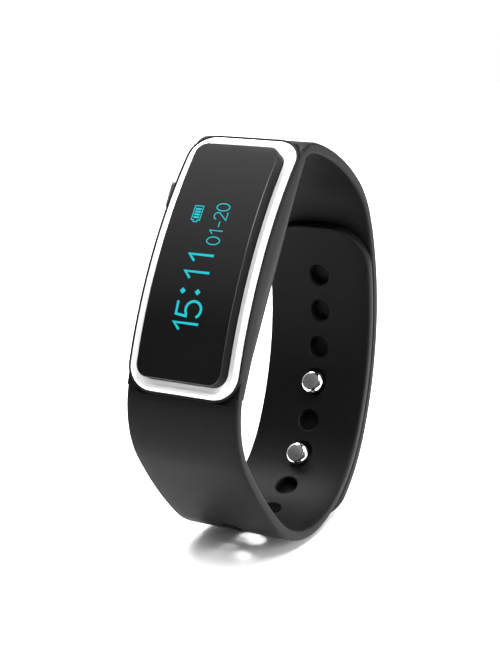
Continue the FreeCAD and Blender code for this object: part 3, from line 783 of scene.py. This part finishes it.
def dot(bm, along, across, size):
    ring = [on_front(-(across + size * sin(a)), along + size * cos(a), SIGN_TOP)
            for a in (0, pi / 2, pi, 3 * pi / 2)]
    bm.faces.new([bm.verts.new(p) for p in ring])


def battery_sign(bm):
    """Outline of a cell with bars in it, its small end towards the start of the writing."""
    (along, across), (length, height) = BATTERY_PLACE, BATTERY_SIZE
    a0, a1 = along - length / 2, along + length / 2
    b0, b1 = across - height / 2, across + height / 2
    shoulder = a0 + BATTERY_NUB
    nub = height * 0.22
    outline = [(shoulder, b0), (a1, b0), (a1, b1), (shoulder, b1), (shoulder, across + nub),
               (a0, across + nub), (a0, across - nub), (shoulder, across - nub)]
    stroke(bm, outline, BATTERY_OUTLINE, True)
    for i in range(BATTERY_BARS):
        u = a0 + BATTERY_BAR_START + i * BATTERY_BAR_PITCH
        stroke(bm, [(u, b0 + BATTERY_BAR_GAP), (u, b1 - BATTERY_BAR_GAP)], BATTERY_BAR)


def display(material):
    bm = bmesh.new()
    write(bm, "1511", TIME_PLACES, SIGN_FOOT, TIME_HEIGHT, TIME_STROKE)
    for above_foot in COLON_ABOVE_FOOT:
        dot(bm, COLON_PLACE, SIGN_FOOT + above_foot, COLON_SIZE)
    write(bm, "01-20", DATE_PLACES, DATE_FOOT, DATE_HEIGHT, DATE_STROKE)
    battery_sign(bm)
    return dress(finish_mesh(bm, "lit_display"), material, "root")


# ---- clasp ----

STUD_POINTS = [station(LOWER, hole_distance(i), 0)[:2] for i in STUD_HOLES]
CHORD = Vector((0, *STUD_POINTS[0])) - Vector((0, *STUD_POINTS[1]))
CHORD.normalize()
STUD_AXIS = Vector((0, -CHORD.z, CHORD.y))


def stud_place(point):
    across = Vector((1, 0, 0))
    turn = Matrix((across, CHORD, STUD_AXIS)).transposed().to_4x4()
    return Matrix.Translation((0, point[0] * MM, point[1] * MM)) @ turn


STUD_PLACES = [stud_place(point) for point in STUD_POINTS]


def turned(bm, outline, place, steps):
    """A turned solid at a place; outline lists (radius, height) from axis to axis."""
    rings = []
    for r, h in outline:
        if r == 0:
            rings.append([bm.verts.new(place @ Vector((0, 0, h * MM)))] * steps)
            continue
        ring = []
        for k in range(steps):
            a = 2 * pi * k / steps
            ring.append(bm.verts.new(place @ Vector((r * MM * cos(a), r * MM * sin(a), h * MM))))
        rings.append(ring)
    for one, other in zip(rings[:-1], rings[1:]):
        for k in range(steps):
            j = (k + 1) % steps
            corners = []
            for v in (one[k], one[j], other[j], other[k]):
                if v not in corners:
                    corners.append(v)
            if len(corners) > 2:
                bm.faces.new(corners)


def turned_pair(outline, steps):
    """The same turned solid at both studs."""
    bm = bmesh.new()
    for place in STUD_PLACES:
        turned(bm, outline, place, steps)
    return bm


def studs(shine, face, groove_shade):
    """Two turned studs: a round flange, a step above it painted dark as the shade in its groove, and a flat
    brushed face.
    """
    outline = [(0, -3.9), (0.68, -3.9), (0.7, -3.65), (1.2, -3.6), (1.2, 0.75), (1.8, 0.78)]
    outline += [(2.0, 0.84), (2.1, 0.98), (2.12, 1.15), (2.1, 1.3), (2.02, 1.48), (1.88, 1.64), (1.72, 1.76)]
    outline += [(1.6, 1.8), (1.56, 1.72), (1.5, 1.72), (1.5, 2.1), (1.47, 2.17), (1.4, 2.2), (0, 2.2)]
    obj = finish_mesh(turned_pair(outline, 48), "stud_pair", 35)
    dress(obj, shine, "tail", ["clasp_studs"])
    obj.data.materials.append(face)
    obj.data.materials.append(groove_shade)
    face_foot, face_radius = 2.18, 1.45
    # the step in the groove takes the dark plastic: painted shade, not a part of its own
    step_foot, step_top, step_radius = 1.7, 2.12, 1.61
    for polygon in obj.data.polygons:
        for place in STUD_PLACES:
            local = place.inverted() @ polygon.center / MM
            radius = hypot(local.x, local.y)
            if local.z > face_foot and radius < face_radius:
                polygon.material_index = 1
            elif step_foot < local.z < step_top and radius < step_radius:
                polygon.material_index = 2
    return obj


def clasp_plate(material):
    """Pressed plate on the outside of the tail, with rounded corners and edges."""
    foot = OUTER_INSIDE + STRAP_THICKNESS + PLATE_PROUD - PLATE_THICKNESS
    run = trimmed(LOWER, PLATE_SPAN[0], PLATE_SPAN[1], foot)
    half_length, half_width = run_length(run) / 2, PLATE_WIDTH / 2
    bm = bmesh.new()
    loops = []
    for inset, n in [(0.05, 0.0), (0.0, 0.45), (0.04, 0.62), (0.14, 0.74), (0.3, PLATE_THICKNESS)]:
        outline = oblong(half_width, half_length, PLATE_CORNER, inset, side_steps=28)
        loop = []
        for x, v in outline:
            y, z, _ = station(run, v + half_length, n)
            loop.append(bm.verts.new((x * MM, y * MM, z * MM)))
        loops.append(loop)
    for one, other in zip(loops[:-1], loops[1:]):
        join_loops(bm, one, other)
    for loop in (loops[0], loops[-1]):
        fill_across(bm, loop, outline)     # any of the outlines puts both loops in order
    return dress(finish_mesh(bm, "clasp_plate_skin", 50), material, "tail", ["clasp_plate"])


def rivets(material):
    """Low rivet heads on the outside of the clasp plate."""
    outline = [(0, -4.45), (0.55, -4.42), (0.95, -4.3), (1.15, -4.12), (1.15, -3.85), (0, -3.85)]
    return dress(finish_mesh(turned_pair(outline, 32), "rivet_heads", 40), material, "tail")


# ---- button ----

def side_button(material):
    """The cap and its stem, with shallow ribs across the cap."""
    y0, z0 = BUTTON_PLACE
    bm = bmesh.new()
    loops = []
    levels = [(-7.75, 1.6, 0.55), (-8.9, 1.6, 0.55), (-9.1, 0.05, 0.05), (BUTTON_FACE + 0.35, 0.0, 0.0),
              (BUTTON_FACE + 0.12, 0.06, 0.06), (BUTTON_FACE, 0.22, 0.2)]
    for x, cut_length, cut_height in levels:
        half_height = BUTTON_HALF_HEIGHT - cut_height
        corner = min(BUTTON_CORNER, half_height - 0.05)
        outline = oblong(half_height, BUTTON_HALF_LENGTH - cut_length, corner, 0.0, side_steps=20,
                         corner_steps=5)
        loop = []
        for u, v in outline:
            rib = RIB_DEPTH * (1 + cos(2 * pi * v / RIB_PITCH)) / 2 if x == BUTTON_FACE else 0.0
            loop.append(bm.verts.new(module_point(x + rib, y0 + v, z0 + u)))
        loops.append(loop)
    for one, other in zip(loops[:-1], loops[1:]):
        join_loops(bm, one, other)
    bm.faces.new(loops[0])
    places = [in_module(v) for v in loops[-1]]
    fill_across(bm, loops[-1], [(place.z, place.y) for place in places])
    return dress(finish_mesh(bm, "button_cap", 45), material, "button", ["side_button"])


# ---- CAD nodes that show as they are ----

FINISHES = {
    "core_case": "case", "back_cover": "cover", "cover_gasket": "seal", "cover_screws": "screw",
    "charge_contacts": "gold", "contact_springs": "gold", "display_panel": "panel", "display_tape": "foam",
    "display_flex": "flex", "main_board": "board", "radio_chip": "chip", "motion_sensor": "chip",
    "board_components": "ceramic", "antenna": "ceramic", "vibration_motor": "can", "tact_switch": "chip",
    "battery": "pouch", "battery_leads": "wire",
}


def finish_nodes(materials):
    for node, finish in FINISHES.items():
        for slot in NODES[node].material_slots:
            slot.material = materials[finish]


# ---- studio ----

def floor():
    lo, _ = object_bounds()
    bm = bmesh.new()
    bmesh.ops.create_circle(bm, cap_ends=True, segments=64, radius=0.9)
    obj = finish_mesh(bm, "studio_floor")
    obj.location = (0, 0, lo.z - 0.0002)
    obj.data.materials.append(surface("pale_floor", (0.93, 0.93, 0.93), (0.95, 0.95, 0.95), (0.6, 0.7), 60,
                                      strength=0.0))
    obj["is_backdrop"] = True


def softbox(name, place, size, power):
    """A rectangular light aimed at the middle of the band."""
    light = bpy.data.lights.new(name, "AREA")
    light.shape = "RECTANGLE"
    light.size, light.size_y = size
    light.energy = power
    obj = bpy.data.objects.new(name, light)
    obj.location = place
    obj.rotation_euler = (-Vector(place)).to_track_quat("-Z", "Y").to_euler()
    bpy.context.scene.collection.objects.link(obj)


def surroundings():
    """Light from all round that is white overhead and behind and dark low down in front."""
    world = bpy.data.worlds.new("studio_world")
    world.use_nodes = True
    nodes, links = world.node_tree.nodes, world.node_tree.links
    coords = nodes.new("ShaderNodeTexCoord")
    lean = nodes.new("ShaderNodeVectorMath")
    lean.operation = "DOT_PRODUCT"
    lean.inputs[1].default_value = (0.1, 0.8, 0.9)
    links.new(coords.outputs["Generated"], lean.inputs[0])
    lighting = nodes["Background"]
    lighting.inputs["Color"].default_value = (1, 1, 1, 1)
    links.new(ramp(nodes, links, lean.outputs["Value"], 0.06, 1.3, -0.25, 0.65), lighting.inputs["Strength"])
    backdrop = nodes.new("ShaderNodeBackground")
    backdrop.inputs["Color"].default_value = (1, 1, 1, 1)
    seen = nodes.new("ShaderNodeLightPath")
    choice = nodes.new("ShaderNodeMixShader")
    links.new(seen.outputs["Is Camera Ray"], choice.inputs["Fac"])
    links.new(lighting.outputs["Background"], choice.inputs[1])
    links.new(backdrop.outputs["Background"], choice.inputs[2])
    links.new(choice.outputs["Shader"], nodes["World Output"].inputs["Surface"])
    bpy.context.scene.world = world


def studio():
    surroundings()
    softbox("key_above", (0.1, 0.2, 0.8), (0.7, 0.7), 6.0)
    softbox("key_left", (-0.36, 0.16, 0.74), (0.35, 0.35), 7.0)
    softbox("side_right", (0.7, -0.02, 0.1), (0.35, 0.5), 8.0)
    softbox("front_right", (0.27, -0.3, 0.66), (0.3, 0.3), 7.0)


def camera():
    data = bpy.data.cameras.new("photo_camera")
    data.lens = CAMERA_LENS
    data.clip_start = 0.01
    obj = bpy.data.objects.new("photo_camera", data)
    az, down = radians(CAMERA_AZIMUTH), radians(CAMERA_DOWN)
    ahead = Vector((-sin(az) * cos(down), cos(az) * cos(down), -sin(down)))
    obj.location = CAMERA_PLACE
    obj.rotation_euler = ahead.to_track_quat("-Z", "Y").to_euler()
    bpy.context.scene.collection.objects.link(obj)
    bpy.context.scene.camera = obj


def build():
    camera()
    m = make_materials()
    lower_strap(m["strap"])
    outer_strap(m["strap"])
    collar(m["strap"])
    bezel(m["bezel"])
    collar_lip(m["strap"])
    lens(m["lens"], m["lens_side"])
    display(glow_material())
    # the studs' steps take the button's dark plastic as painted shade
    studs(m["chrome"], m["face"], m["button"])
    clasp_plate(m["plate"])
    rivets(m["chrome"])
    side_button(m["button"])
    finish_nodes(m)
    floor()
    studio()
    bpy.context.scene.view_settings.view_transform = "Standard"


build()
